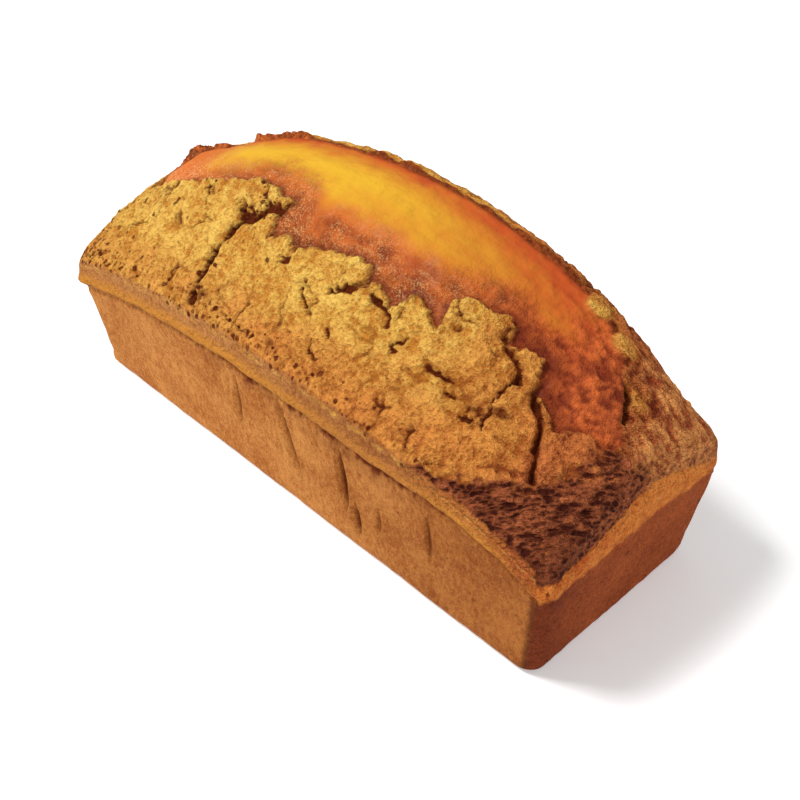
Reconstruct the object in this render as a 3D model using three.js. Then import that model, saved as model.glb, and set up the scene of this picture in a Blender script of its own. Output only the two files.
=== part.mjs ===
// Vanilla loaf cake, whole and out of its tin: one solid of crumb and crust.
// Millimetres, +Z up, length along X, origin at the centre of the flat underside.
import * as THREE from 'three';
import { ParametricGeometry } from 'three/addons/geometries/ParametricGeometry.js';
import { ImprovedNoise } from 'three/addons/math/ImprovedNoise.js';
import { mergeGeometries, mergeVertices } from 'three/addons/utils/BufferGeometryUtils.js';

const { lerp, clamp, smoothstep, seededRandom } = THREE.MathUtils;

// The part that stood in the tin.
const LENGTH = 250;           // over the rim, end to end
const WIDTH = 92.5;           // over the rim, side to side
const TAPER = 4.5;            // each wall leans in this much down to the base
const CORNER_HEIGHT = 37.6;    // crease above the base at the four corners
const SIDE_BOW = 13.4;        // the crease climbs this much at mid length
const END_BOW = 10.5;         // and this much in the middle of each end
const LEFT_OVERHANG = 4;      // the rim hangs out over the left end wall
const CORNER_RADIUS = 6.5;
const BASE_ROUND = 1.8;

// The rim above the crease and the risen crown.
const RIM_HEIGHT = 10.6;
const RIM_LEAN = 1;           // the rim leans in this much towards its top
const RIM_BULGE = 0.5;
const CROWN_RISE = 57.8;      // top of the crown above the rim's corners
const RIDGE_SHIFT = 0.38;     // the crown is highest towards +Y
const ROUND_LEFT = 0.52;      // small: a blunt end; large: a long slope
const ROUND_RIGHT = 0.69;

// The split along the top: crust plates stand proud of the smooth risen crumb.
const SPLIT_START = -113;
const SPLIT_END = 119;
const PLATE_STEP = 2.4;
const SPLIT_BULGE = 2.2;
const RAGGED = 1.5;
const NEAR_EDGE = [
  [-125, -12], [-102, -12], [-88, -10], [-67, -9], [-46, -6], [-36, -7], [-30, -10], [-25, -9], [-23, -19],
  [-10, -20], [-3, -17], [17, -14], [22, -18], [28, -17], [35, -20], [40, -14], [52, -17], [55, -7], [69, -1],
  [74, -7], [81, -3], [86, -5], [89, -12], [100, -15], [105, -9], [125, -8],
];
const FAR_EDGE = [
  [-125, 2], [-111, 4], [-107, 12], [-100, 17], [-95, 23], [-80, 22], [-69, 25], [-42, 25], [-7, 26],
  [21, 28], [69, 30], [78, 28], [92, 23], [103, 17], [111, 8], [125, 1],
];
// Flakes standing up along the far edge: place along it, reach and lift.
const FAR_FLAKES = [[-105, 8, 3], [-73, 16, 3], [-18, 4, 2.2], [-2, 5, 2.4], [60, 14, 2], [89, 10, 1.5]];
// A full and a slack shoulder of the dome: x, y, reach and lift.
const SHOULDERS = [[-105, 11, 9, 1.8], [105, 38, 13, -1.4]];

// Cracks through the crust, each a route over the top with a width and a depth.
const CRACK_WIDTH = 2.3;
const CRACK_DEPTH = 2.6;
const CRACK_ROUTES = [
  [[-24, -10], [-35, -15], [-43, -19], [-47, -27], [-48, -36], [-45, -42]],
  [[24, -19], [15, -22], [12, -24]],
  [[26, -20], [34, -21], [37, -24]],
  [[72, -7], [79, -10], [83, -13], [81, -20], [82, -27]],
  [[88, -11], [94, -15], [97, -19], [103, -28]],
  [[104, 13], [108, 8], [111, 4]],
];
const FAR_CRACKS = 6;
const LUMP = 0.9;
const WRINKLE = 1.1;
const WALL_CREASES = 22;
const WALL_CREASE_DEPTH = 0.8;

const SLICES = 96;
const STACKS = 40;
const NEAR_ROWS = 16;
const SPLIT_ROWS = 11;

const noise = new ImprovedNoise();

function follow(route, x) {
  const last = route.length - 2;
  const i = clamp(route.findIndex((point) => point[0] > x) - 1, 0, last);
  const [a, b] = [route[i], route[i + 1]];
  return lerp(a[1], b[1], clamp((x - a[0]) / (b[0] - a[0]), 0, 1));
}

// Rounds the corners of a rectangle of half sizes a and b.
function rounded(x, y, a, b, radius) {
  const qx = Math.max(Math.abs(x) - (a - radius), 0);
  const qy = Math.max(Math.abs(y) - (b - radius), 0);
  if (qx === 0 || qy === 0) return [x, y];
  const k = Math.max(qx, qy) / Math.hypot(qx, qy);
  return [Math.sign(x) * (a - radius + qx * k), Math.sign(y) * (b - radius + qy * k)];
}

function outline(u, v, inset, leftInset) {
  const a = LENGTH / 2 - inset - (u < 0 ? leftInset : 0);
  const b = WIDTH / 2 - inset;
  return rounded(u * a, v * b, a, b, CORNER_RADIUS);
}

function creaseHeight(u, v) {
  const side = SIDE_BOW * (1 - Math.abs(u) ** 2.5) * Math.abs(v) ** 4;
  const end = END_BOW * (1 - Math.abs(v) ** 2.5) * Math.abs(u) ** 8;
  return CORNER_HEIGHT + side + end;
}

function dome(u, v) {
  const [x, y] = outline(u, v, RIM_LEAN, 0);
  const w = v - RIDGE_SHIFT * (1 - v * v);
  const along = Math.max(1 - Math.abs(u) ** 1.95, 0) ** (u < 0 ? ROUND_LEFT : ROUND_RIGHT);
  const across = Math.max(1 - Math.abs(w) ** 3.58, 0) ** 0.78;
  const uneven = 0.7 * noise.noise(x / 9, y / 9, 3);
  return new THREE.Vector3(x, y, creaseHeight(u, v) + RIM_HEIGHT + uneven + CROWN_RISE * along * across);
}

function torn(route, x, layer) {
  const wander = noise.noise(x / 4.3, layer, 0.5) + 0.6 * noise.noise(x / 1.9, layer, 4.5);
  return follow(route, x) + RAGGED * wander;
}

// Crack routes as straight pieces; those out on the far flank are drawn by lot.
function crackLines() {
  const routes = [...CRACK_ROUTES];
  seededRandom(41);
  for (let i = 0; i < FAR_CRACKS; i += 1) {
    const x = lerp(-95, 95, (i + 0.7 * seededRandom()) / FAR_CRACKS);
    const drift = lerp(-6, 6, seededRandom());
    routes.push([[x, 29], [x + drift, 34], [x + 0.5 * drift, 40]]);
  }
  const point = ([x, y]) => new THREE.Vector3(x, y, 0);
  const pieces = (route) => route.slice(1).map((end, i) => new THREE.Line3(point(route[i]), point(end)));
  return routes.flatMap(pieces);
}
const CRACKS = crackLines();

function crackDepth(x, y) {
  const sway = (layer) => 1.4 * noise.noise(x / 5, y / 5, layer);
  const spot = new THREE.Vector3(x + sway(8), y + sway(11), 0);
  const nearest = new THREE.Vector3();
  const reach = CRACKS.map((line) => line.closestPointToPoint(spot, true, nearest).distanceTo(spot));
  return CRACK_DEPTH * Math.exp(-((Math.min(...reach) / CRACK_WIDTH) ** 2));
}

// Height of the surface over the plain dome, measured along its normal.
function relief(u, v, inSplit) {
  const [x, y] = outline(u, v, RIM_LEAN, 0);
  const opening = smoothstep(x, SPLIT_START - 4, SPLIT_START + 6);
  const open = opening * (1 - smoothstep(x, SPLIT_END - 14, SPLIT_END));
  const near = torn(NEAR_EDGE, x, 1.5);
  const far = torn(FAR_EDGE, x, 6.5);
  if (inSplit) {
    const across = clamp((y - near) / (far - near), 0, 1);
    const swell = SPLIT_BULGE * 4 * across * (1 - across) + 0.5 * noise.noise(x / 14, y / 9, 2);
    return open * (swell - 0.35 * PLATE_STEP);
  }
  const onFar = y > (near + far) / 2;
  const gap = Math.max(onFar ? y - far : near - y, 0);
  const flakes = FAR_FLAKES.map(([at, reach, lift]) => lift * Math.exp(-(((x - at) / reach) ** 4) - gap / 4));
  const edge = PLATE_STEP * (onFar ? 0.3 : 0.65) * Math.exp(-gap / 9);
  const lip = open * (edge + (onFar ? Math.max(...flakes) : 0));
  const lumps = LUMP * (noise.noise(x / 6, y / 6, 20) + 0.7 * noise.noise(x / 2.9, y / 2.9, 31));
  const browned = smoothstep(x - 0.8 * Math.abs(y + 42), 55, 105);
  const wrinkles = WRINKLE * browned * (0.5 - 2 * Math.abs(noise.noise(x / 7, y / 5, 47)));
  return lip + lumps + wrinkles - crackDepth(x, y);
}

function crown(u, v, inSplit) {
  const step = 0.004;
  const p = dome(u, v);
  const du = dome(clamp(u + step, -1, 1), v).sub(dome(clamp(u - step, -1, 1), v));
  const dv = dome(u, clamp(v + step, -1, 1)).sub(dome(u, clamp(v - step, -1, 1)));
  const inside = Math.min((1 - Math.abs(u)) * LENGTH, (1 - Math.abs(v)) * WIDTH) / 2;
  let height = relief(u, v, inSplit);
  for (const [x, y, reach, lift] of SHOULDERS) {
    height += lift * Math.exp(-((p.x - x) ** 2 + (p.y - y) ** 2) / reach ** 2);
  }
  height *= smoothstep(inside, 0, 5);
  return p.addScaledVector(du.cross(dv).normalize(), height);
}

// Columns close up towards the ends; rows run along the two torn edges.
function columnPlace(i) {
  const t = (2 * i) / SLICES - 1;
  return lerp(t, Math.sin((t * Math.PI) / 2), 0.45);
}

function rowPlace(j, u) {
  const half = WIDTH / 2 - RIM_LEAN;
  const x = u * (LENGTH / 2 - RIM_LEAN);
  const near = torn(NEAR_EDGE, x, 1.5) / half;
  const far = torn(FAR_EDGE, x, 6.5) / half;
  const lap = 0.45 / half;
  if (j <= NEAR_ROWS) return lerp(-1, near - lap, Math.sin((j / NEAR_ROWS) * 1.2) / Math.sin(1.2));
  const k = j - NEAR_ROWS - 1;
  if (k < SPLIT_ROWS) return lerp(near + lap, far - lap, k / (SPLIT_ROWS - 1));
  const rest = STACKS - NEAR_ROWS - 1 - SPLIT_ROWS;
  const back = (STACKS - j) / rest;
  return lerp(1, far + lap, Math.sin(back * 1.2) / Math.sin(1.2));
}

function crownGeometry() {
  const place = (s, t, target) => {
    const u = columnPlace(Math.round(s * SLICES));
    const j = Math.round(t * STACKS);
    const inSplit = j > NEAR_ROWS && j <= NEAR_ROWS + SPLIT_ROWS;
    target.copy(crown(u, rowPlace(j, u), inSplit));
  };
  return new ParametricGeometry(place, SLICES, STACKS);
}

// The outline of the crown, counted from the near left corner counter-clockwise.
const RIM_COUNT = 2 * (SLICES + STACKS);

function rimPlace(k) {
  const turn = k % RIM_COUNT;
  let [i, j] = [0, RIM_COUNT - turn];
  if (turn <= SLICES) [i, j] = [turn, 0];
  else if (turn <= SLICES + STACKS) [i, j] = [SLICES, turn - SLICES];
  else if (turn <= 2 * SLICES + STACKS) [i, j] = [2 * SLICES + STACKS - turn, STACKS];
  else j = RIM_COUNT - turn;
  const u = columnPlace(i);
  return [u, rowPlace(j, u)];
}

// Upright creases where the crumb stuck to the tin, at places drawn by lot.
function wallCreases() {
  seededRandom(17);
  const place = (_, i) => (RIM_COUNT * (i + 0.9 * seededRandom())) / WALL_CREASES;
  return Array.from({ length: WALL_CREASES }, place);
}
const CREASE_PLACES = wallCreases();

function wallHollow(k) {
  const gaps = CREASE_PLACES.map((place) => Math.abs((k % RIM_COUNT) - place));
  const [u, v] = rimPlace(k);
  const dent = WALL_CREASE_DEPTH * Math.exp(-((Math.min(...gaps) / 1.1) ** 2));
  return dent + 0.5 * noise.noise(u * 16, v * 7, 60);
}

// Wall rows from the base up: how far in, how high, and how much of the creases.
const WALL_ROWS = [
  { inset: TAPER + BASE_ROUND, height: () => 0, hollow: 0 },
  { inset: TAPER + 0.25 * BASE_ROUND, height: () => 0.75 * BASE_ROUND, hollow: 0.2 },
  { inset: TAPER - 0.3, height: () => 5, hollow: 0.6 },
  { inset: 0.45 * TAPER, height: (crease) => 0.55 * crease, hollow: 1 },
  { inset: 0.4, height: (crease) => crease - 2.2, hollow: 0.7 },
  { inset: 0.9, height: (crease) => crease, hollow: 0.3 },
  { inset: -RIM_BULGE, height: (crease) => crease + 0.3 * RIM_HEIGHT, hollow: 0 },
];

function wallPoint(k, row) {
  const [u, v] = rimPlace(k);
  if (row === WALL_ROWS.length) return dome(u, v);
  const { inset, height, hollow } = WALL_ROWS[row];
  const tucked = row < 6 ? LEFT_OVERHANG * (0.65 - 0.35 * v) * smoothstep(row, 1, 4) : 0;
  const [x, y] = outline(u, v, inset + hollow * wallHollow(k), tucked);
  const wander = 0.8 * noise.noise(u * 13, v * 6, 71);
  const z = height(creaseHeight(u, v) + wander);
  return new THREE.Vector3(x, y, z);
}

function wallGeometry() {
  const place = (s, t, target) => {
    target.copy(wallPoint(Math.round(s * RIM_COUNT), Math.round(t * WALL_ROWS.length)));
  };
  return new ParametricGeometry(place, RIM_COUNT, WALL_ROWS.length);
}

// A fan from the middle of the base, its ring run backwards so it faces down.
function undersideGeometry() {
  const fan = new THREE.CircleGeometry(1, RIM_COUNT);
  for (let k = 0; k <= RIM_COUNT; k += 1) {
    const p = wallPoint(RIM_COUNT - k, 0);
    fan.getAttribute('position').setXYZ(k + 1, p.x, p.y, p.z);
  }
  return fan;
}

function cakeGeometry() {
  const shells = [crownGeometry(), wallGeometry(), undersideGeometry()];
  for (const shell of shells) {
    shell.deleteAttribute('normal');
    shell.deleteAttribute('uv');
  }
  const solid = mergeVertices(mergeGeometries(shells), 1e-3);
  solid.computeVertexNormals();
  return solid;
}

const crust = new THREE.MeshStandardMaterial({ name: 'crust', color: 0xc98f3c, roughness: 0.8 });
const cake = new THREE.Mesh(cakeGeometry(), crust);
cake.name = 'cake';

const part = new THREE.Group();
part.name = 'vanilla_loaf_cake';
part.add(cake);

export default part;
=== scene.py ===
import math

import bmesh
import bpy
import numpy as np
from mathutils import Matrix, Vector, noise


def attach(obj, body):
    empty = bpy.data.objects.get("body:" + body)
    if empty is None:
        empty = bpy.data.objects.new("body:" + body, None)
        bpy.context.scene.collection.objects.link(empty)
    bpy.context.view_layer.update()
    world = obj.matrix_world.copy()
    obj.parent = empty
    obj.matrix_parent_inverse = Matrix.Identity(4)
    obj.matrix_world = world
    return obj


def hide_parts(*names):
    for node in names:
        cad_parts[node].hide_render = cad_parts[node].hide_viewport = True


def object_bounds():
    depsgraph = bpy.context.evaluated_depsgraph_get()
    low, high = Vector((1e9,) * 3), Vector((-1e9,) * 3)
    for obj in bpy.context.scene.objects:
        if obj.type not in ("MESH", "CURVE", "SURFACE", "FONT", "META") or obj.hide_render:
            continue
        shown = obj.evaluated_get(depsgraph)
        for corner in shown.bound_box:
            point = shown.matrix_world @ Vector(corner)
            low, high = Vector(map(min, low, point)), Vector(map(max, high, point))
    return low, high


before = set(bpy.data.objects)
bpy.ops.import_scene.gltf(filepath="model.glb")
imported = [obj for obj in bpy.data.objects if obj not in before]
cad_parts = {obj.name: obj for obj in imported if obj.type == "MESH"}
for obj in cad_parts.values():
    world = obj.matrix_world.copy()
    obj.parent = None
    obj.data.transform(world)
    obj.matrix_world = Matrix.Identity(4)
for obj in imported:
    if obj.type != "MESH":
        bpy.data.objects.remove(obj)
cad_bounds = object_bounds()

# The cake: a vanilla batter baked in a loaf tin and turned out whole.
# The walls took the tin's shape, the top rose into a dome, and its first crust tore open along the
# length as the middle went on rising, so ragged plates stand round a smooth golden split.

# Sizes in millimetres. The plan is the solid's, whose rim bulges a little past it all round.
MM = 0.001
RIM_BULGE = 0.5
solid_length, solid_width, _ = [round((high - low) / MM, 1) for low, high in zip(*cad_bounds)]
LENGTH, WIDTH = solid_length - 2 * RIM_BULGE, solid_width - 2 * RIM_BULGE
CORNER_RADIUS, LEFT_OVERHANG = 6.5, 4.0
# The crease that the tin's edge left: its height at the corners, and its climb along sides and ends.
CREASE_AT_CORNERS, SIDE_BOW, END_BOW = 37.6, 13.4, 10.5
RIM_HEIGHT, RIM_LEAN = 10.6, 1.0
# The crown above the rim: a low roundness gives a blunt end, a high one a long slope.
CROWN_RISE, RIDGE_SHIFT = 57.8, 0.38
ROUND_LEFT, ROUND_RIGHT = 0.52, 0.69
COLUMNS, STRIPS = 372, 186


def smooth(low, high, x):
    """0 below low, 1 above high, smooth between."""
    t = np.clip((np.asarray(x, float) - low) / (high - low), 0, 1)
    return t * t * (3 - 2 * t)


def bell(x, width):
    """1 where x is 0, falling off on both sides over about the width."""
    return np.exp(-((x / width) ** 2))


def hump(x, y, at_x, at_y, spread):
    """1 at one place of the plan, falling off all round; spread is in square millimetres."""
    return np.exp(-((x - at_x) ** 2 + (y - at_y) ** 2) / spread)


def follow(where, stops):
    """Values on straight lines between stops, each a place and its value."""
    at, value = zip(*stops)
    return np.interp(where, at, value)


def outline(u, v, inset, left_inset):
    """Plan of a rounded rectangle; u and v run from -1 to 1 over its length and width."""
    half_length = LENGTH / 2 - inset - np.where(u < 0, left_inset, 0)
    half_width = WIDTH / 2 - inset
    straight_x, straight_y = half_length - CORNER_RADIUS, half_width - CORNER_RADIUS
    past_x = np.maximum(np.abs(u * half_length) - straight_x, 0)
    past_y = np.maximum(np.abs(v * half_width) - straight_y, 0)
    in_corner = (past_x > 0) & (past_y > 0)
    drawn_in = np.maximum(past_x, past_y) / np.maximum(np.hypot(past_x, past_y), 1e-9)
    x = np.where(in_corner, np.sign(u) * (straight_x + past_x * drawn_in), u * half_length)
    y = np.where(in_corner, np.sign(v) * (straight_y + past_y * drawn_in), v * half_width)
    return x, y


def crease_height(u, v):
    """Height of the tin's crease round the edge, falling to its corner height towards the middle."""
    side = SIDE_BOW * (1 - np.abs(u) ** 2.5) * np.abs(v) ** 4
    return CREASE_AT_CORNERS + side + END_BOW * (1 - np.abs(v) ** 2.5) * np.abs(u) ** 8


def dome(u, v):
    """The crown's smooth form, before its relief, highest a little towards the far side."""
    x, y = outline(u, v, RIM_LEAN, 0)
    off_ridge = v - RIDGE_SHIFT * (1 - v * v)
    along = np.maximum(1 - np.abs(u) ** 1.95, 0) ** np.where(u < 0, ROUND_LEFT, ROUND_RIGHT)
    across = np.maximum(1 - np.abs(off_ridge) ** 3.58, 0) ** 0.78
    return np.stack([x, y, crease_height(u, v) + RIM_HEIGHT + CROWN_RISE * along * across], -1)


def grain(points, size, layer):
    """Noise from -1 to 1 at points, with features of about size millimetres; each layer differs."""
    flat = points.reshape(-1, 3) / size + np.array([0.0, 0.0, 7.3 * layer])
    return np.array([noise.noise(p) for p in flat.tolist()]).reshape(points.shape[:-1])


def cells(points, size, layer):
    """Distance to the nearest and second nearest cell centre, and a random number for the cell."""
    flat = points.reshape(-1, 3) / size + np.array([0.0, 0.0, 11.7 * layer])
    found = []
    for p in flat.tolist():
        gaps, centres = noise.voronoi(p)
        found.append((gaps[0], gaps[1], noise.cell(centres[0] * 61.7)))
    nearest, second, lot = np.array(found).T.reshape(3, *points.shape[:-1])
    return nearest * size, second * size, 0.5 + 0.5 * lot


def even(profile, share):
    """A way from even steps to places from -1 to 1 along a profile, closer where its share is high."""
    fine = np.linspace(-1, 1, 2001)
    steps = np.linalg.norm(np.diff(profile(fine), axis=0), axis=1)
    total = np.concatenate([[0], np.cumsum(steps * share(0.5 * (fine[1:] + fine[:-1])))])
    return lambda t: np.interp((t + 1) / 2 * total[-1], total, fine)


# Even steps over the dome's own surface; the far slope gets wider strips than the rest.
to_u = even(lambda t: dome(t, 0 * t + 0.2), lambda t: 1 + 0 * t)
to_v = even(lambda t: dome(0 * t, t), lambda t: np.where(t < 0.6, 1.0, 0.6))

# Where the crust tore: the plan of the split, near side first.
NEAR_TEAR = [
    (-112, -13), (-102, -12), (-88, -10), (-76, -10), (-67, -9), (-56, -8), (-46, -6), (-36, -7),
    (-30, -10), (-24, -9), (-27, -16), (-25, -20), (-17, -18), (-10, -20), (-3, -17), (7, -16), (17, -14),
    (21, -15), (22, -18), (19, -20), (28, -17), (35, -20), (40, -14), (48, -15), (53, -17), (52, -9),
    (59, -4), (69, -1), (73, -2), (74, -6), (73, -8), (78, -7), (81, -3), (85, -3), (86, -7), (88, -12),
    (91, -11), (97, -14), (100, -15), (104, -10), (107, -8), (110, -9), (114, -6),
]
FAR_TEAR = [
    (115, 0), (110, 2), (107, 7), (104, 12), (100, 16), (98, 20), (92, 23), (88, 26), (78, 28), (69, 28),
    (56, 27), (21, 26), (-7, 25), (-42, 25), (-69, 25), (-80, 22), (-90, 23), (-95, 23), (-100, 17),
    (-107, 12), (-109, 8), (-111, 4), (-113, 1),
]
# How far the far torn edge curls up, at places along the length.
FLAKE_LIFT = [
    (-112, 0), (-110, 3.8), (-100, 3.4), (-97, 0.2), (-88, 0.2), (-85, 3.2), (-60, 2.8), (-54, 0.2),
    (-24, 0.2), (-21, 2.0), (-14, 2.0), (-11, 0.3), (-8, 0.3), (-5, 2.2), (2, 2.2), (6, 0.2), (44, 0.2),
    (50, 1.8), (70, 1.8), (75, 0.4), (79, 1.2), (86, 1.0), (92, 1.2), (98, 1.0), (102, 0),
]
# Cracks in the crust: half width, depth, and the way each one runs.
CRACKS = [
    (2.1, 4.0, [
        (-46, -16), (-42, -19), (-46, -24), (-47, -27), (-48, -32), (-48, -35), (-48, -39), (-45, -42),
    ]),
    (2.3, 3.6, [(-42, -18), (-36, -17), (-34, -13), (-26, -13), (-23, -9)]),
    (0.6, 1.6, [(-70, -11), (-66, -15), (-66, -18)]),
    (0.8, 1.8, [(-15, -25), (-14, -24), (-10, -22)]),
    (0.7, 1.8, [(0, -26), (1, -28), (5, -30)]),
    (0.9, 2.4, [(12, -24), (15, -22), (19, -21), (24, -19)]),
    (0.9, 2.4, [(26, -20), (34, -21), (37, -22), (37, -24)]),
    (0.6, 1.4, [(16, -31), (19, -32)]),
    (0.7, 1.6, [(13, -35), (14, -38), (19, -38)]),
    (0.7, 1.6, [(43, -27), (46, -23)]),
    (1.4, 3.4, [(72, -7), (75, -9), (79, -10), (82, -11), (83, -13)]),
    (0.7, 1.8, [(83, -13), (81, -18), (81, -21), (82, -27)]),
    (1.7, 4.2, [(88, -11), (90, -13), (94, -15), (97, -19), (100, -24), (103, -28)]),
    (1.3, 2.4, [(105, 14), (108, 9), (111, 4)]),
    (0.7, 1.8, [(56, -25), (60, -25), (66, -24)]),
    (0.7, 1.8, [(66, -27), (70, -27)]),
    (0.7, 1.8, [(73, -29), (78, -28)]),
]
# Broad swells and dips of the crown: place, reach and rise.
SHOULDERS = [(-105, 11, 9, 1.8), (-93, 23, 5, -1.4), (-112, -12, 12, -1.3), (110, 39, 13, -2.4)]
# Two thin flakes over the far side of the split, a bubbly patch, and a knob on the rim: place and spread.
FLAKES = [(81, 28, 30), (95, 24, 26)]
BUBBLY = (-34, -13, 60)
KNOB = (-124, -45, 50)
# The browned front right corner: where it starts along the length, and how brown it is, by place across.
BROWN_FROM = [
    (-46, 62), (-43, 76), (-38, 88), (-34, 95), (-28, 103), (-23, 107), (-16, 111), (-7, 111), (6, 116),
    (19, 120), (46, 124),
]
BROWN_DEPTH = [(-35, 1), (-20, 0.95), (-5, 0.75), (8, 0.3), (25, 0.1)]
# The top of the band on the right end, by place across.
BAND_TOP = [
    (-46, 46), (-40, 47.5), (-34, 48.5), (-25, 50.5), (-15, 53), (-5, 56), (5, 57), (14, 55), (22, 52),
    (30, 49), (36, 46), (46, 45),
]


def distance(x, y, route):
    """Distance from each place to a route of straight pieces."""
    best = np.full(np.shape(x), 1e9)
    for (ax, ay), (bx, by) in zip(route, route[1:]):
        dx, dy = bx - ax, by - ay
        t = np.clip(((x - ax) * dx + (y - ay) * dy) / (dx * dx + dy * dy), 0, 1)
        best = np.minimum(best, np.hypot(x - ax - t * dx, y - ay - t * dy))
    return best


def inside(x, y, loop):
    """Whether each place lies inside a loop."""
    odd = np.zeros(np.shape(x), bool)
    for (ax, ay), (bx, by) in zip(loop, loop[1:] + loop[:1]):
        if ay != by:
            odd ^= ((ay > y) != (by > y)) & (x < (bx - ax) * (y - ay) / (by - ay) + ax)
    return odd


def end_face(u):
    """1 at the right end, 0 over the rest."""
    return smooth(0.955, 0.985, u)


def end_band(y, z):
    """1 below the top of the right end's band, 0 above it."""
    top = follow(y, BAND_TOP)
    return 1 - smooth(top - 2, top + 2, z)


# Rows of the wall from the crown's edge down: how far in, how deep a ledge, then the height, as a
# share of the crease line's height and a rise above that.
RIM_ROWS = [
    (0.7, 0.0, 1, 8.6), (0.5, 0.0, 1, 6.6), (0.35, -0.1, 1, 4.7), (0.2, -0.4, 1, 3.1), (0.1, -0.6, 1, 1.7),
    (0.05, -0.35, 1, 0.7),
]
LEDGE_ROWS = [(0.1, 0.6, 1, -0.1), (0.15, 0.75, 1, -1.0), (0.2, 0.25, 1, -2.4)]
WALL_LEAN = 4.6
WALL_ROWS = [(0.15 + WALL_LEAN * (1 - share), 0, share, 0.0) for share in np.linspace(0.93, 0.11, 13)]
BASE_ROWS = [(4.5, 0, 0, 3.0), (5.1, 0, 0, 1.0), (6.3, 0, 0, 0.0)]
ROWS_DOWN = RIM_ROWS + LEDGE_ROWS + WALL_ROWS + BASE_ROWS
LEDGE, BASE = len(RIM_ROWS) + 1, len(ROWS_DOWN)

# The mesh: a grid for the crown, rows of wall drawn down from its edge, and a fan for the base.
bm = bmesh.new()
bmesh.ops.create_grid(bm, x_segments=COLUMNS, y_segments=STRIPS, size=1)
at_s = bm.verts.layers.float.new("s")
at_t = bm.verts.layers.float.new("t")
at_row = bm.verts.layers.int.new("row")
for vert in bm.verts:
    vert[at_s], vert[at_t] = vert.co.x, vert.co.y
open_edges = [e for e in bm.edges if e.is_boundary]
for row in range(1, BASE + 1):
    drawn = bmesh.ops.extrude_edge_only(bm, edges=open_edges)["geom"]
    for vert in (g for g in drawn if isinstance(g, bmesh.types.BMVert)):
        vert[at_row] = row
    new_edges = [g for g in drawn if isinstance(g, bmesh.types.BMEdge)]
    open_edges = [e for e in new_edges if all(v[at_row] == row for v in e.verts)]
base = bmesh.ops.edgeloop_fill(bm, edges=open_edges)["faces"]
middle = bmesh.ops.poke(bm, faces=base)["verts"][0]
middle[at_row] = BASE + 1
bmesh.ops.recalc_face_normals(bm, faces=bm.faces)

# Each vertex's place, and the masks that tell the material what is where.
MASKS = (
    "split", "yellow", "red", "brown", "toast", "crowd", "rim", "ridge_highlight", "wall", "hollow_shade", "foot_shade", "far",
    "lift", "wrinkled", "end", "glint_area",
)
s_of = np.array([v[at_s] for v in bm.verts])
t_of = np.array([v[at_t] for v in bm.verts])
row_of = np.array([v[at_row] for v in bm.verts])
places = np.zeros((len(s_of), 3))
masks = {name: np.zeros(len(s_of)) for name in MASKS}

# The crown's grid on the dome: places, normals, how far in from the edge, and noise of several sizes.
steps_along, steps_across = np.linspace(-1, 1, COLUMNS + 1), np.linspace(-1, 1, STRIPS + 1)
grid_s, grid_t = np.meshgrid(steps_along, steps_across, indexing="ij")
u, v = to_u(grid_s), to_v(grid_t)
crown = dome(u, v)
normals = np.cross(np.gradient(crown, axis=0), np.gradient(crown, axis=1))
normals /= np.maximum(np.linalg.norm(normals, axis=-1, keepdims=True), 1e-9)
x, y = crown[..., 0], crown[..., 1]
side_gap = (1 - np.abs(v)) * WIDTH / 2
margin = np.minimum((1 - np.abs(u)) * LENGTH / 2, side_gap)
coarse, medium, fine = grain(crown, 9, 1), grain(crown, 4.2, 2), grain(crown, 1.9, 3)
lumps, nubs = np.abs(grain(crown, 6.5, 15)), np.abs(grain(crown, 2.2, 16))
ripples = grain(crown * np.array([0.3, 1.0, 1.0]), 4.5, 18)

# The split, by its distance to the torn edge, with the flakes that lie over it.
ragged = np.where(y > 8, 0.35, 1.0)
torn_x = x + ragged * (1.3 * grain(crown, 5, 4) + 0.9 * grain(crown, 2.1, 5))
torn_y = y + ragged * (1.3 * grain(crown, 5, 6) + 0.9 * grain(crown, 2.1, 7))
tear = NEAR_TEAR + FAR_TEAR
gap = distance(torn_x, torn_y, tear + tear[:1]) * np.where(inside(torn_x, torn_y, tear), 1, -1)
near_gap = distance(torn_x, torn_y, NEAR_TEAR)
far_gap = distance(torn_x, torn_y, FAR_TEAR[5:])
flakes = smooth(0.3, 0.7, sum(hump(x, y, *flake) for flake in FLAKES) + 0.25 * medium)
split = smooth(-0.45, 0.45, gap) * (1 - flakes)

# Cracks, with the painted shade in their bottoms.
cracks, crack_shade = np.zeros_like(x), np.zeros_like(x)
crack_x, crack_y = x + 1.3 * medium + 0.9 * fine, y + 1.1 * coarse - 0.9 * fine
for half, depth, route in CRACKS:
    away = distance(crack_x, crack_y, route) / (half * (0.9 + 0.5 * fine))
    cracks = np.maximum(cracks, depth * (1 - smooth(0.2, 1.3, away)) * (0.8 + 0.5 * medium))
    crack_shade = np.maximum(crack_shade, 1 - smooth(0.45, 1.05, away))

# Pits where bubbles burst, crowded at the edges and the left end, few on the right and far sides.
pit_gap, _, pit_lot = cells(crown + np.stack([0.8 * fine, 0.8 * medium, 0.5 * fine], -1), 3.4, 1)
crowd = 0.05 + 0.6 * (1 - smooth(1, 11, margin)) + 0.5 * (1 - smooth(-118, -86, x))
crowd = crowd - 0.3 * smooth(-10, 50, x) + 0.15 * coarse + 0.8 * hump(x, y, *BUBBLY)
crowd = np.clip(crowd, 0, 1) * (1 - smooth(66, 90, x)) * (1 - 0.75 * smooth(-2, 26, y))
pits = smooth(0, 0.35, crowd - pit_lot) * bell(pit_gap, 0.95)

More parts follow.
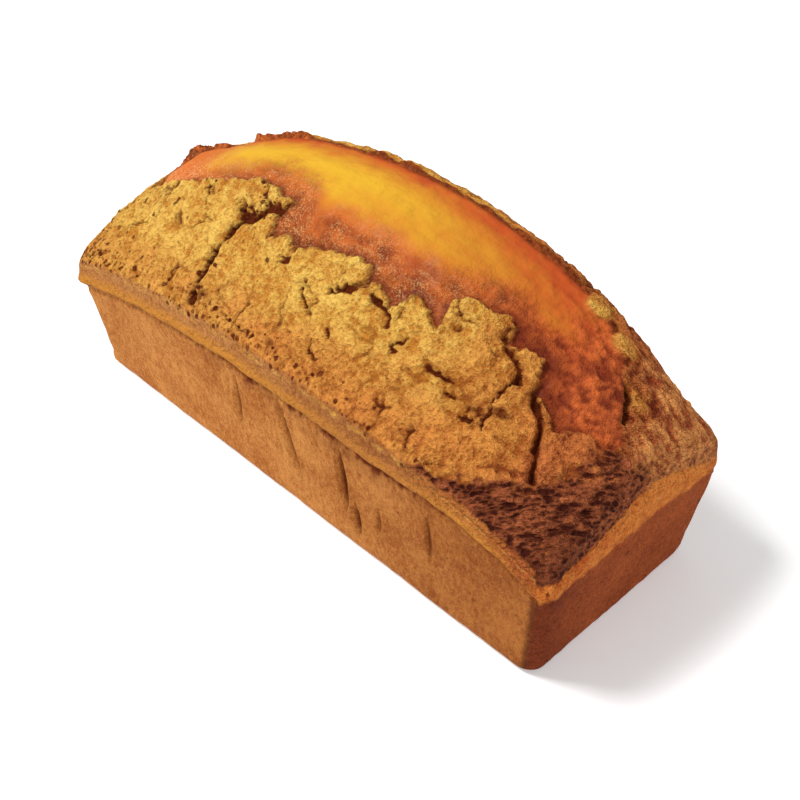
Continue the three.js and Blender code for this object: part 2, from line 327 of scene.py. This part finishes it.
# Low plates of crust with seams between them.
bent = crown * np.array([1.0, 1.0, 0.7]) + np.stack([2 * medium + fine, 1.5 * coarse + fine, 0 * x], -1)
plate_gap, plate_next, plate_lot = cells(bent, 15, 2)
seams = bell(plate_next - plate_gap, 0.75) * smooth(-0.05, 0.35, grain(crown, 11, 8))
valleys = bell(lumps, 0.11) * smooth(-0.2, 0.4, grain(crown, 15, 17) + 0.15 * smooth(0, 50, x))

# How baked the crust is: brown at the front right corner, toasted along the edges and to the right,
# paler beside the near tear, on the flakes and at one golden spot of the right end.
brown = smooth(-7, 10, x - follow(torn_y, BROWN_FROM) + 4 * medium + 2 * coarse) * follow(y, BROWN_DEPTH)
toasted_edge = (0.5 + 0.4 * smooth(-60, 10, x)) * (1 - smooth(4, 23, side_gap))
toast = 1 - (1 - toasted_edge) * (1 - 0.85 * smooth(-5, 100, x))
toast = toast + 0.3 * coarse + 0.1 * (1 - smooth(-40, 0, x))
toast = toast + 0.5 * smooth(23, 29, y) * smooth(20, 60, x)
toast = toast - 0.35 * np.exp(-near_gap / 10) * (1 - smooth(60, 80, x))
least_toast = 0.3 * smooth(18, 24, y) + 0.45 * smooth(26, 36, y)
toast = np.clip(toast + 0.6 * smooth(86, 104, x) - 0.6 * flakes, least_toast, 1.6)
toast = toast + 0.7 * smooth(96, 108, x + 3 * medium) * smooth(-8, 6, y + 3 * coarse)
golden = np.exp(-((x - 108) ** 2 / 30 + (y - 14) ** 2 / 45))
toast = toast - 1.5 * golden
brown = brown * (1 - golden)

# Wrinkles of the browned corner: level folds on its near side, upright ones on its flank.
wrinkled = np.maximum(brown, 0.9 * smooth(90, 104, x + 3 * medium) * smooth(-2, 8, y))
turned = np.stack([(x + y) * 0.7, (x - y) * 0.7, crown[..., 2]], -1)
level = 1.2 * grain(turned * np.array([0.3, 1, 1]), 2.3, 9) + 0.6
level = level - 1.6 * np.abs(grain(turned * np.array([0.4, 1, 1]), 3, 22))
upright = 0.8 * grain(crown * np.array([0.4, 1.0, 0.4]), 2.6, 19) + 0.5 * grain(crown, 2.2, 23) + 0.2
flank = smooth(-14, 4, y + 4 * coarse)
wrinkles = level * (1 - flank) + upright * flank

# The relief: crust curled up along the tear, with its lumps, plates and hollows, over a split that
# swells smoothly and turns rough towards the right.
seams = seams * (1 - wrinkled)
valleys = valleys * (1 - wrinkled)
flake_lift = follow(x, FLAKE_LIFT) * (1 + 0.3 * coarse + 0.2 * medium)
curl = 1.5 * np.exp(-near_gap / 10) + (0.5 + flake_lift) * np.exp(-far_gap / 3.5)
relief = 0.6 * coarse + 0.5 * medium + 0.35 * fine
relief = relief + 0.5 * (lumps - 0.25) + 0.7 * (nubs - 0.25) - 0.5 * valleys
relief = relief * (1 - 0.5 * wrinkled * flank)
crust_up = curl + relief + 0.5 * (plate_lot - 0.5) + 0.25 * smooth(0, 4, plate_next - plate_gap)
crust_up = crust_up - cracks - 1.1 * pits - 0.8 * seams + 0.8 * wrinkled * wrinkles + 0.5 * flakes
swell = 2.2 * smooth(0, 16, near_gap) * smooth(0, 10, far_gap)
split_up = swell - 0.9 + 1.7 * bell(far_gap, 5) + 0.3 * coarse + 0.12 * medium + 0.3 * ripples
rough_end = 0.5 * medium + 0.5 * fine + 0.6 * (lumps - 0.25) + 0.6 * (nubs - 0.25)
split_up = split_up + smooth(50, 100, x) * rough_end
raised = crust_up * (1 - split) + split_up * split
for at_x, at_y, reach, rise in SHOULDERS:
    raised = raised + rise * hump(x, y, at_x, at_y, reach**2)
raised = raised * smooth(0, 4, margin)
crown = crown + normals * raised[..., None]

# Colour zones of the split: a yellow middle, a red near side and right end, and pale specks that are
# painted glints.
off_middle = np.abs((y + 2 * coarse - 6.5) / 12)
yellow = np.exp(-(off_middle**2.6)) * (1 - smooth(-18, 104, x)) * smooth(-98, -70, x)
near_red = (1 - smooth(2, 18, near_gap + 2 * coarse)) * (0.3 + 0.7 * smooth(-90, -50, x))
red = np.maximum(near_red, smooth(66, 104, x + 4 * medium))
near_glints = (1 - smooth(1, 14, near_gap + 2 * coarse)) * (1 - smooth(40, 75, x))
end_glints = (1 - smooth(-86, -68, x + 3 * coarse)) * (1 - 0.75 * smooth(-7, 5, y + 3 * medium))
glint_area = np.maximum(near_glints, end_glints)

# Painted shade at the foot of the near crust, wider towards the right; and the dark lip of the far one,
# its torn crust's own brown with painted shade on its torn face.
foot_shade_width = 1.6 + 6 * smooth(60, 85, x) * (1 - smooth(92, 104, x)) * (near_gap < far_gap)
foot_shade = bell(np.maximum(gap, 0), foot_shade_width) * split
lip_width = 1.2 + (1.1 + 1.6 * (1 - smooth(-50, -20, x))) * (gap < 0)
far = bell(far_gap, lip_width) * (1 - flakes)

# Painted light and shade: lighter tops and darker hollows of the relief, with painted highlights on the
# wrinkle ridges, for the colour; and the rim's own colour at the crown's edge.
tone = (0.4 * relief + 0.6 * wrinkled * (wrinkles - 0.35)) * (1 - split)
tone = tone + split * smooth(45, 90, x) * (0.3 * medium + 0.3 * fine + 0.3 * (lumps - 0.25))
# Painted shade in the hollows: pits, crack bottoms, seams and valleys turn dark.
hollow_shade = np.clip(pits * 0.8 + crack_shade + 0.75 * seams + 0.45 * valleys, 0, 1) * (1 - split)
corner = smooth(70, 90, x) * (v < 0)
near_rim = 1 - smooth(0.7 * corner - 1, 2 + 0.8 * corner, margin)
side_rim = np.where(v < 0, near_rim, 0.5 * (1 - smooth(0, 4, margin)))
rim = side_rim * (1 - end_face(u)) + end_band(y, crown[..., 2]) * end_face(u)

crown_masks = {
    "split": split, "yellow": yellow, "red": red, "glint_area": glint_area, "foot_shade": foot_shade, "far": far, "rim": rim,
    "brown": brown, "toast": toast, "wrinkled": wrinkled, "hollow_shade": hollow_shade, "lift": np.clip(0.5 + tone, 0, 1),
    "crowd": crowd * (1 - split) * (1 - brown),
}
on_crown = row_of == 0
column = np.rint((s_of[on_crown] + 1) / 2 * COLUMNS).astype(int)
strip = np.rint((t_of[on_crown] + 1) / 2 * STRIPS).astype(int)
places[on_crown] = crown[column, strip]
for name, values in crown_masks.items():
    masks[name][on_crown] = values[column, strip]

# Upright creases where crumb stuck to the tin: top place and height, low place and height, half
# width and depth. Those of the far side and the left end are drawn by lot.
NEAR_CREASES = [
    (-19, 46, -21, 21, 1.6, 2.0), (-24, 44, -25, 27, 1.0, 0.9), (6, 50, 14, 14, 1.8, 2.4),
    (37, 49, 39, 15, 1.7, 2.3), (43, 24, 44, 6, 1.8, 1.9), (55, 30, 55, 15, 1.2, 1.2),
    (78, 44, 80, 22, 1.2, 1.4), (3, 29, 3, 18, 1.2, 0.9), (24, 48, 26, 33, 1.1, 0.8),
    (-4, 48, -3, 36, 1.0, 0.7), (-44, 34, -45, 24, 0.9, 0.6), (-33, 44, -33, 36, 0.9, 0.6),
    (-60, 40, -61, 28, 0.9, 0.5),
]
lots = np.random.default_rng(5)


def any_creases(count, reach):
    """Creases drawn by lot, within a reach from the middle of a wall."""
    for _ in range(count):
        at, top, length = lots.uniform(-reach, reach), lots.uniform(26, 44), lots.uniform(10, 22)
        low_at, low = at + lots.uniform(-3, 3), top - length
        yield at, top, low_at, low, lots.uniform(0.9, 1.5), lots.uniform(0.5, 1.5)


FAR_CREASES, LEFT_CREASES = list(any_creases(9, 115)), list(any_creases(3, 36))


def creases(where, z, spindles):
    """Depth of upright creases, each a spindle from its top to its low place, between two ridges."""
    total = np.zeros_like(where)
    for at, top, low_at, low, half, depth in spindles:
        t = np.clip((top - z) / (top - low), 0, 1)
        girth = np.sin(np.pi * t) ** 0.6 + 1e-6
        away = np.abs(where - at - (low_at - at) * t) / (half * girth)
        total += depth * girth * (bell(away, 1) - 0.4 * bell(away - 2, 0.8)) * (t > 0) * (t < 1)
    return total


# The rim and the walls below it, row by row. The rim climbs to the near right corner. Its lower part
# is a ridge with a painted highlight, and the ledge under it a groove with painted shade, strongest
# right of the middle.
RIDGE_HIGHLIGHT_BY_ROW = {2: 0.2, 3: 0.5, 4: 0.9, 5: 1.0, 6: 0.7}
GROOVE_SHADE_BY_ROW = {6: 0.2, 7: 0.8, 8: 0.85, 9: 0.6, 10: 0.5, 11: 0.35, 12: 0.2}
GROOVE_SHADE_ALONG = [(-110, 0.4), (-60, 0.45), (-25, 0.75), (20, 0.9), (60, 1), (85, 0.6), (110, 0.4)]
END_BROWN = [(-46, 1), (-25, 0.85), (-10, 0.55), (25, 0.45)]
RIM_CLIMB = 5.5
for row, (inset, ledge, share, rise) in enumerate(ROWS_DOWN, start=1):
    ring = row_of == row
    ring_u, ring_v = to_u(s_of[ring]), to_v(t_of[ring])
    ring_x, ring_y = outline(ring_u, ring_v, 0, 0)
    plan = np.stack([ring_x, ring_y, 0 * ring_x], -1)
    climb = RIM_CLIMB * smooth(45, 95, ring_x) * (1 - 0.5 * smooth(108, 124, ring_x)) * (ring_v < -0.9)
    crease_z = crease_height(ring_u, ring_v) + climb
    crease_z = crease_z + 0.7 * grain(plan, 9, 10) + 0.35 * grain(plan, 2.5, 11)
    squeeze = 1 - climb / RIM_HEIGHT if row < LEDGE else 1
    z = share * crease_z + rise * squeeze
    spots = np.stack([ring_x, ring_y, z], -1)

    folds = creases(ring_x, z, NEAR_CREASES) * (ring_v < -0.98)
    folds += creases(ring_x, z, FAR_CREASES) * (ring_v > 0.98)
    folds += creases(ring_y, z, LEFT_CREASES) * (ring_u < -0.995)
    folds *= row > LEDGE
    ledge = ledge * (1 - 0.4 * smooth(-70, 60, ring_x) - 0.45 * smooth(0.955, 0.99, ring_u))
    hollow = folds + ledge + 0.3 * grain(spots, 14, 12) + 0.2 * grain(spots, 4, 13)
    tucked = LEFT_OVERHANG * (0.65 - 0.35 * ring_v) * (1 - smooth(crease_z - 4, crease_z + 2.5, z))
    tucked = tucked * smooth(-0.5, 7, z)
    knob = 0.6 * hump(ring_x, ring_y, *KNOB) * (row < LEDGE)
    wall_x, wall_y = outline(ring_u, ring_v, inset - knob + hollow * (row < BASE), tucked)
    places[ring] = np.stack([wall_x, wall_y, z], -1)

    at_end = end_face(ring_u)
    side_rim = min(0.5 + 0.25 * row, 1.0) if row < LEDGE else 0.0
    groove_shade = GROOVE_SHADE_BY_ROW.get(row, 0.0) * follow(ring_x, GROOVE_SHADE_ALONG)
    groove_shade = groove_shade * np.clip(0.9 + 0.7 * grain(spots, 6, 14) + 0.8 * grain(spots, 2.0, 20), 0, 1.4)
    masks["rim"][ring] = side_rim * (1 - at_end) + at_end * end_band(ring_y, z)
    masks["brown"][ring] = at_end * follow(ring_y, END_BROWN)
    masks["toast"][ring] = (1.5 + 0.7 * smooth(-8, 6, ring_y)) * at_end
    masks["wrinkled"][ring] = 0.8 * at_end * (row < LEDGE - 1)
    masks["crowd"][ring] = 0.04 + 0.04 * at_end
    masks["lift"][ring] = 0.5
    masks["ridge_highlight"][ring] = RIDGE_HIGHLIGHT_BY_ROW.get(row, 0.0)
    masks["wall"][ring] = 0.0 if row < LEDGE else 1.0
    masks["end"][ring] = at_end
    # Painted shade in the groove under the ledge and in the creases.
    masks["hollow_shade"][ring] = np.maximum(groove_shade * (1 - at_end), np.clip(0.45 * folds, 0, 1))
masks["wall"][row_of > BASE] = 1.0

for vert, place in zip(bm.verts, (places * MM).tolist()):
    vert.co = place
mesh = bpy.data.meshes.new("cake_crust")
bm.to_mesh(mesh)
bm.free()
mesh.shade_smooth()
for name, values in masks.items():
    mesh.attributes.new(name, "FLOAT", "POINT").data.foreach_set("value", values.astype(np.float32))
cake = bpy.data.objects.new("cake_crust", mesh)
bpy.context.scene.collection.objects.link(cake)

# The cake's colours as the eye names them, from 0 to 255: one tone, or a dark and a light one.
GOLDEN = (202, 126, 45), (253, 206, 100)
TOASTED = (162, 82, 34), (236, 154, 72)
NUTTY = (120, 46, 24), (214, 122, 62)
AMBER = (170, 76, 42), (250, 166, 92)
# Scorched brown, and the painted highlight on the ridges of its folds.
SCORCHED_AND_HIGHLIGHT = (72, 26, 16), (184, 100, 60)
SCORCHED_TIP = (72, 27, 17)
CRUMB = (190, 82, 36), (218, 166, 44)
CRUMB_LEFT = (208, 112, 40)
BLUSH_NEAR = (120, 45, 20), (206, 104, 42)
BLUSH_RIGHT = (122, 46, 26), (220, 108, 52)
GLINT_SPECK = (232, 178, 116)
TORN_FOOT_SHADE = (112, 40, 20)
LIP_LEFT = (88, 32, 15), (206, 108, 48)
LIP_RIGHT = (84, 32, 14), (168, 82, 34)
BAND_LEFT = (160, 92, 46), (218, 150, 92)
BAND_WORN = (138, 75, 36), (192, 119, 68)
BAND_RIGHT = (164, 84, 32), (216, 132, 58)
BAND_CORNER = (140, 58, 30), (200, 104, 56)
BAND_END = (198, 84, 28), (255, 160, 72)
BAND_RIDGE_HIGHLIGHT = (222, 146, 60)
BAND_FLECK = (116, 54, 32)
WALL_LEFT = (162, 88, 36), (218, 150, 80)
WALL_RIGHT = (134, 68, 28), (186, 116, 56)
END_NEAR = (96, 34, 14), (152, 68, 31)
END_FAR = (132, 52, 25), (208, 107, 54)
# The painted shade in hollows, cracks, creases and the groove.
HOLE_SHADE = (102, 40, 15)


def linear(tone):
    """A tone named from 0 to 255, in the renderer's linear numbers."""
    parts = [part / 255 for part in tone]
    return (*[p / 12.92 if p <= 0.04045 else ((p + 0.055) / 1.055) ** 2.4 for p in parts], 1.0)


class Shade:
    """A shader socket that takes part in sums; sockets and plain numbers mix freely."""

    def __init__(self, tree, socket):
        self.tree, self.socket = tree, socket

    def node(self, kind, settings=None, inputs=None, output=0):
        """One output of a new node with these settings and these values or links on its sockets."""
        made = self.tree.nodes.new(kind)
        for name, value in (settings or {}).items():
            setattr(made, name, value)
        for name, value in (inputs or {}).items():
            if isinstance(value, Shade):
                self.tree.links.new(value.socket, made.inputs[name])
            else:
                made.inputs[name].default_value = value
        return Shade(self.tree, made.outputs[output])

    def also(self, output):
        """Another output of the node this socket belongs to."""
        return Shade(self.tree, self.socket.node.outputs[output])

    def math(self, operation, first, second=0.0, clamp=False):
        settings = {"operation": operation, "use_clamp": clamp}
        return self.node("ShaderNodeMath", settings, {0: first, 1: second})

    def __add__(self, other):
        return self.math("ADD", self, other)

    def __sub__(self, other):
        return self.math("SUBTRACT", self, other)

    def __rsub__(self, other):
        return self.math("SUBTRACT", other, self)

    def __mul__(self, other):
        return self.math("MULTIPLY", self, other)

    __radd__, __rmul__ = __add__, __mul__

    def size(self):
        return self.math("ABSOLUTE", self)

    def clip(self):
        return self.math("ADD", self, 0.0, True)

    def swing(self, reach):
        """This, which runs from 0 to 1, as a swing about 0."""
        return (self - 0.5) * reach

    def ramp(self, low, high):
        """0 below low, 1 above high, smooth between."""
        sockets = {0: self, 1: low, 2: high, 3: 0.0, 4: 1.0}
        return self.node("ShaderNodeMapRange", {"interpolation_type": "SMOOTHSTEP"}, sockets)

    def between(self, first, second):
        """The colour that is first where this is 0 and second where it is 1; each a tone or a socket."""
        first, second = [c if isinstance(c, Shade) else linear(c) for c in (first, second)]
        return self.node("ShaderNodeMix", {"data_type": "RGBA"}, {0: self.clip(), 6: first, 7: second}, 2)

    def tones(self, pair):
        """The dark tone of a pair where this is 0 and the light one where it is 1."""
        return self.between(*pair)


crust = bpy.data.materials.new("crust")
crust.use_nodes = True
tree = crust.node_tree
shader = tree.nodes["Principled BSDF"]
start = Shade(tree, None)
coords = start.node("ShaderNodeTexCoord", output="Object")
axes = start.node("ShaderNodeSeparateXYZ", inputs={0: coords})
along, across, up = axes, axes.also(1), axes.also(2)


def texture(scale, detail, stretch=(1, 1, 1), roughness=0.5):
    """Noise from 0 to 1, with about scale features to the metre."""
    where = start.node("ShaderNodeMapping", inputs={0: coords, 3: stretch})
    sockets = {"Vector": where, "Scale": scale, "Detail": detail, "Roughness": roughness}
    return start.node("ShaderNodeTexNoise", inputs=sockets)


def mask(name):
    """One of the masks that the mesh carries."""
    return start.node("ShaderNodeAttribute", {"attribute_name": name}, output="Fac")


# Textures from broad to fine, and the masks as sockets, under the names that they have on the mesh.
broad, soft, mottle = texture(55, 3), texture(170, 3), texture(240, 4)
knurl, speck, dust = texture(460, 3), texture(800, 3), texture(1900, 2)
fibre, streak = texture(650, 4, (1, 1, 0.6), 0.6), texture(150, 3, (0.25, 1, 1))
grainy = mottle * 0.24 + knurl * 0.28 + speck * 0.34 + dust * 0.26
split, yellow, red, brown, toast, crowd, rim, ridge_highlight, wall, hollow_shade, foot_shade, far, lift, wrinkled, end, glint_area = [
    mask(name) for name in MASKS
]


def holes(scale, size):
    """Small round holes left by burst bubbles, as many as the crowd mask asks for."""
    bubble = start.node("ShaderNodeTexVoronoi", inputs={"Vector": coords, "Scale": scale})
    lot = start.node("ShaderNodeSeparateColor", inputs={0: bubble.also("Color")})
    uneven = bubble + knurl.swing(0.4) + speck.swing(0.3)
    return (1 - uneven.ramp(0.6 * size, size)) * (crowd - lot).ramp(0.0, 0.06)


pinholes = (holes(300, 0.38) + holes(560, 0.36) * 0.7).clip()

# Thin folds that run aslant over the browned corner: bumps, and painted highlights on their ridges in the
# colour.
aslant = {0: coords, 2: (0, 0, math.radians(45)), 3: (2.6, 1, 1)}
slanted = start.node("ShaderNodeMapping", {"vector_type": "TEXTURE"}, aslant)
folded = start.node("ShaderNodeTexNoise", inputs={"Vector": slanted, "Scale": 480, "Detail": 2})
creased = 1 - 4.5 * (folded - 0.5).size()

# The crust's plates: golden, then toasted, nutty and amber as the toast mask rises, and scorched at the
# front right corner. Each also gets painted light on the relief's tops and painted shade in its hollows.
golden = (grainy + broad.swing(0.3) + lift.swing(0.3)).ramp(0.38, 0.72).tones(GOLDEN)
toasted = (grainy + lift.swing(0.4)).ramp(0.36, 0.72).tones(TOASTED)
well_baked = (grainy + lift.swing(0.5)).ramp(0.34, 0.7)
scorched_and_highlights = (creased * 0.8 + (grainy - 0.56) * 0.8 + lift.swing(0.6)).ramp(0.1, 1.05).tones(SCORCHED_AND_HIGHLIGHT)
tip = 0.4 * along.ramp(0.108, 0.119) * (1 - across.ramp(-0.036, -0.026))
scorched_and_highlights = tip.between(scorched_and_highlights, SCORCHED_TIP)
plates = (toast + mottle.swing(0.5)).ramp(0.0, 1.1).between(golden, toasted)
plates = (toast * 2 - 2 + mottle.swing(0.9)).between(plates, well_baked.tones(NUTTY))
plates = (toast * 2 - 3.3 + mottle.swing(0.9)).between(plates, well_baked.tones(AMBER))
plates = (brown + mottle.swing(1.4) + lift.swing(-0.4)).ramp(0.25, 0.75).between(plates, scorched_and_highlights)

# The split's crumb: yellow to orange, red at its near side and right end, with painted glints and painted
# shade at its torn foot.
crumb = (yellow + broad.swing(0.3) + streak.swing(0.5) + soft.swing(0.3)).tones(CRUMB)
crumb = (0.7 - 0.7 * along.ramp(-0.108, -0.078)).between(crumb, CRUMB_LEFT)
# The split's lumps towards the right get painted light on their tops and painted shade in their hollows.
blotch = (streak * 0.55 + mottle * 0.65 + lift.swing(0.7)).ramp(0.36, 0.8)
blush = along.ramp(0.045, 0.09).between(blotch.tones(BLUSH_NEAR), blotch.tones(BLUSH_RIGHT))
crumb = (red + mottle.swing(0.7) + speck.swing(0.5)).ramp(0.1, 1.0).between(crumb, blush)
# Pale specks painted in as glints: painted highlights.
glint = (dust * 0.65 + speck * 0.45).ramp(0.5, 0.7) * glint_area * texture(130, 2).ramp(0.2, 0.6)
crumb = (glint * (0.75 - along * 2)).between(crumb, GLINT_SPECK)
# Painted shade at the foot of the near crust.
crumb = (foot_shade * (0.3 + mottle * 1.1)).between(crumb, TORN_FOOT_SHADE)
top = split.between(plates, crumb)
# The far lip: the torn crust's own brown, and painted shade on its torn face.
flaky = (speck * 0.5 + mottle * 0.5).ramp(0.35, 0.75)
lip = along.ramp(-0.07, 0.0).between(flaky.tones(LIP_LEFT), flaky.tones(LIP_RIGHT))
top = (far * (0.2 + 1.6 * mottle) - 0.2).ramp(0.05, 0.75).between(top, lip)

# The band round the rim: pale on the left, worn in the middle, browner to the corner, orange on the end,
# with a painted highlight along its lower ridge that is weaker to the right.
weave = (broad * 0.3 + fibre * 0.4 + knurl * 0.3 + dust * 0.45).ramp(0.52, 0.92)
worn = along.ramp(-0.03, 0.06) * (1 - 0.6 * along.ramp(0.07, 0.1))
to_corner = along.ramp(0.095, 0.118)
band = worn.between(weave.tones(BAND_LEFT), weave.tones(BAND_WORN))
band = (0.65 * along.ramp(0.065, 0.085)).between(band, weave.tones(BAND_RIGHT))
band = (0.85 * to_corner).between(band, weave.tones(BAND_CORNER))
# The painted highlight along the band's lower ridge.
band = (ridge_highlight * (1.1 - 0.5 * worn - 0.6 * to_corner) + mottle.swing(0.9)).between(band, BAND_RIDGE_HIGHLIGHT)
flecks = (mottle * 0.5 + knurl * 0.5).ramp(0.55, 0.67) * (1 - 0.8 * ridge_highlight)
band = (flecks * 0.5).between(band, BAND_FLECK)
band = end.between(band, (grainy + broad.swing(0.4)).ramp(0.36, 0.74).tones(BAND_END))

# The walls: stained by the tin, browner to the right and on the end, where they start at one height.
stain = (broad * 0.5 + fibre * 0.6 + dust * 0.6 - 0.1).ramp(0.5, 0.98)
walls = (along * 10 - 0.1).between(stain.tones(WALL_LEFT), stain.tones(WALL_RIGHT))
end_stain = stain * 0.6 + grainy * 0.4
end_wall = across.ramp(-0.045, -0.012).between(end_stain.tones(END_NEAR), end_stain.tones(END_FAR))
walls = end.between(walls, end_wall)
end_low = 1 - (up * 1000 + mottle.swing(5) + broad.swing(4)).ramp(38.5, 41.5)
sides = (wall * (1 - end) + end * end_low).between(band, walls)

skin = (rim + wall + mottle.swing(0.9) + speck.swing(0.5)).ramp(0.45, 0.9).between(top, sides)
# Painted shade: pits, cracks, seams, valleys, the groove under the ledge, the wall's creases and the
# pinholes turn dark.
skin = (hollow_shade * (0.7 + speck * 0.6) + pinholes * 0.75).ramp(0.1, 1.0).between(skin, HOLE_SHADE)
rough = 0.92 - 0.25 * (split * red) - 0.15 * brown

# Fine grain, too small for the mesh, as bump heights in metres.
crusty = (1 - split) * (1 - wall) * (1 - 0.6 * rim) * (1 - 0.7 * far)
crust_bump = mottle * 0.0018 + knurl * 0.0024 + speck * 0.0024 + dust * 0.0009
crust_bump = crust_bump - pinholes * 0.001 + wrinkled * creased * 0.002
split_bump = soft * 0.0012 + mottle * 0.0006 + streak * 0.0008 + red * (speck * 0.0016 + dust * 0.0007)
wall_bump = fibre * 0.0012 + dust * 0.0007
rim_bump = fibre * 0.001 + mottle * 0.002 + knurl * 0.0034 + speck * 0.0014 + dust * 0.0007
bumps = crusty * crust_bump + split * split_bump + wall * wall_bump + rim * rim_bump
normal = start.node("ShaderNodeBump", inputs={"Strength": 1.0, "Distance": 1.0, "Height": bumps})

finish = {
    "Base Color": skin, "Roughness": rough.clip(), "Coat Weight": (0.05 * split).clip(), "Normal": normal,
}
for name, value in finish.items():
    tree.links.new(value.socket, shader.inputs[name])
shader.inputs["Specular IOR Level"].default_value = 0.06
shader.inputs["Coat Roughness"].default_value = 0.35
mesh.materials.append(crust)
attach(cake, "root")
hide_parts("cake")

# The floor: a plain pale table top, only there to stand on and to catch the shadow.
# It glows a little, so that it stays near white under the soft light.
floor_bm = bmesh.new()
bmesh.ops.create_grid(floor_bm, x_segments=1, y_segments=1, size=4)
floor_mesh = bpy.data.meshes.new("floor")
floor_bm.to_mesh(floor_mesh)
floor_bm.free()
floor = bpy.data.objects.new("floor", floor_mesh)
floor.location.z = -0.0005
bpy.context.scene.collection.objects.link(floor)
pale = bpy.data.materials.new("floor")
pale.use_nodes = True
pale_finish = {
    "Base Color": (0.9, 0.9, 0.9, 1), "Roughness": 0.9,
    "Emission Color": (1, 1, 1, 1), "Emission Strength": 0.25,
}
for name, value in pale_finish.items():
    pale.node_tree.nodes["Principled BSDF"].inputs[name].default_value = value
floor_mesh.materials.append(pale)

# The light: a broad soft lamp high on the left, a weaker and wider one on the right, and a pale room.
# Both lamps face the middle of the cake; places and sizes are in metres, power in watts.
LAMP_AIM = Vector((0, 0, 0.04))


def lamp(name, place, size, watts):
    data = bpy.data.lights.new(name, "AREA")
    data.size, data.energy = size, watts
    made = bpy.data.objects.new(name, data)
    made.location = place
    made.rotation_euler = (LAMP_AIM - Vector(place)).to_track_quat("-Z", "Y").to_euler()
    bpy.context.scene.collection.objects.link(made)


lamp("key", (-0.5, -0.5, 1.25), 0.35, 17)
lamp("fill", (1.1, -0.6, 0.7), 1.0, 4.2)
world = bpy.data.worlds.new("room")
bpy.context.scene.world = world
world.use_nodes = True
room = world.node_tree.nodes["Background"]
room.inputs["Color"].default_value = (1, 1, 1, 1)
room.inputs["Strength"].default_value = 0.4
bpy.context.scene.view_settings.view_transform = "Standard"

# The camera: about 46 degrees round from the long side and 38 degrees up, 43 cm from the cake, and
# moved a little aside and up so that the cake fills the picture.
BACK_BY, ASIDE_BY, UP_BY = 0.4324, 0.0133, 0.016
turn, tilt = math.radians(45.84), math.radians(38.07)
back = Vector((math.sin(turn) * math.cos(tilt), -math.cos(turn) * math.cos(tilt), math.sin(tilt)))
right = Vector((math.cos(turn), math.sin(turn), 0))
above = back.cross(right)
lens = bpy.data.cameras.new("camera")
lens.sensor_width, lens.lens = 36, 49.5
lens.clip_start = 0.01
camera = bpy.data.objects.new("camera", lens)
stand = Matrix.Translation(back * BACK_BY + right * ASIDE_BY + above * UP_BY)
camera.matrix_world = stand @ Matrix((right, above, back)).transposed().to_4x4()
bpy.context.scene.collection.objects.link(camera)
bpy.context.scene.camera = camera
